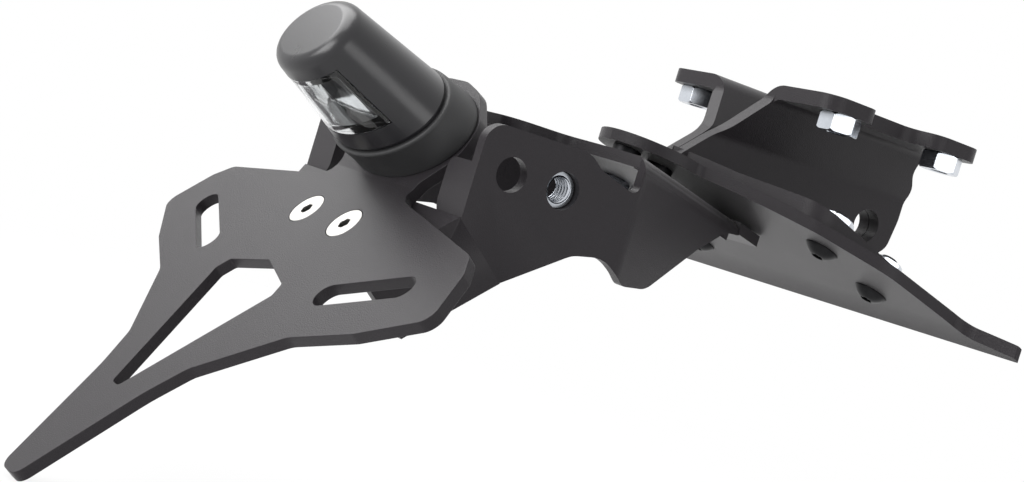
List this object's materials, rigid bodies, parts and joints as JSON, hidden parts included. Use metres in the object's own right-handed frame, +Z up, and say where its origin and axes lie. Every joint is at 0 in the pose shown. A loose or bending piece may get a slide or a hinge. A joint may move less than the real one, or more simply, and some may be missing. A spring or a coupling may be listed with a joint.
{
  "type": "tail tidy",
  "caption": "Motorbike tail tidy: folded seat brackets, undertray and arm bracket that carry a plate light and a pointed number plate hanger.",
  "frame": {"origin": "centre of the four captive nuts, at the top face of the flanges", "axes": "+X to the bike's right, +Y to its front, +Z up"},
  "size_m": [0.16, 0.2388, 0.1451],
  "materials": {
    "powder_coat": "satin",
    "black_screw": "satin",
    "zinc": "zinc plated",
    "stainless": "satin",
    "rubber": "matt",
    "black_plastic": "semi gloss",
    "lens": "clear",
    "reflector": "polished",
    "circuit": "matt"
  },
  "bodies": {
    "root": {"front_bracket_left": "powder_coat", "front_bracket_right": "powder_coat", "flange_nut_left_rear": "zinc", "flange_nut_left_front": "zinc", "flange_nut_right_rear": "zinc", "flange_nut_right_front": "zinc", "undertray": "powder_coat", "tray_bolt_left_rear": "black_screw", "tray_bolt_left_front": "black_screw", "tray_bolt_right_rear": "black_screw", "tray_bolt_right_front": "black_screw", "tray_nut_left_rear": "zinc", "tray_nut_left_front": "zinc", "tray_nut_right_rear": "zinc", "tray_nut_right_front": "zinc", "arm_bracket": "powder_coat", "spine_bolt_rear": "black_screw", "spine_bolt_front": "black_screw", "spine_spacer_rear": "black_screw", "spine_spacer_front": "black_screw", "spine_nut_rear": "zinc", "spine_nut_front": "zinc", "clinch_nut_left": "zinc", "clinch_nut_right": "zinc", "number_plate_hanger": "powder_coat", "hanger_screw_left": "stainless", "hanger_screw_right": "stainless", "hanger_washer_left": "zinc", "hanger_washer_right": "zinc", "hanger_nut_left": "zinc", "hanger_nut_right": "zinc", "light_collar": "rubber", "light_housing": "black_plastic", "light_lens": "lens", "light_reflector": "reflector", "led_board": "circuit", "led_left": "lens", "led_right": "lens", "light_screw_left": "black_screw", "light_screw_right": "black_screw"}
  },
  "joints": []
}
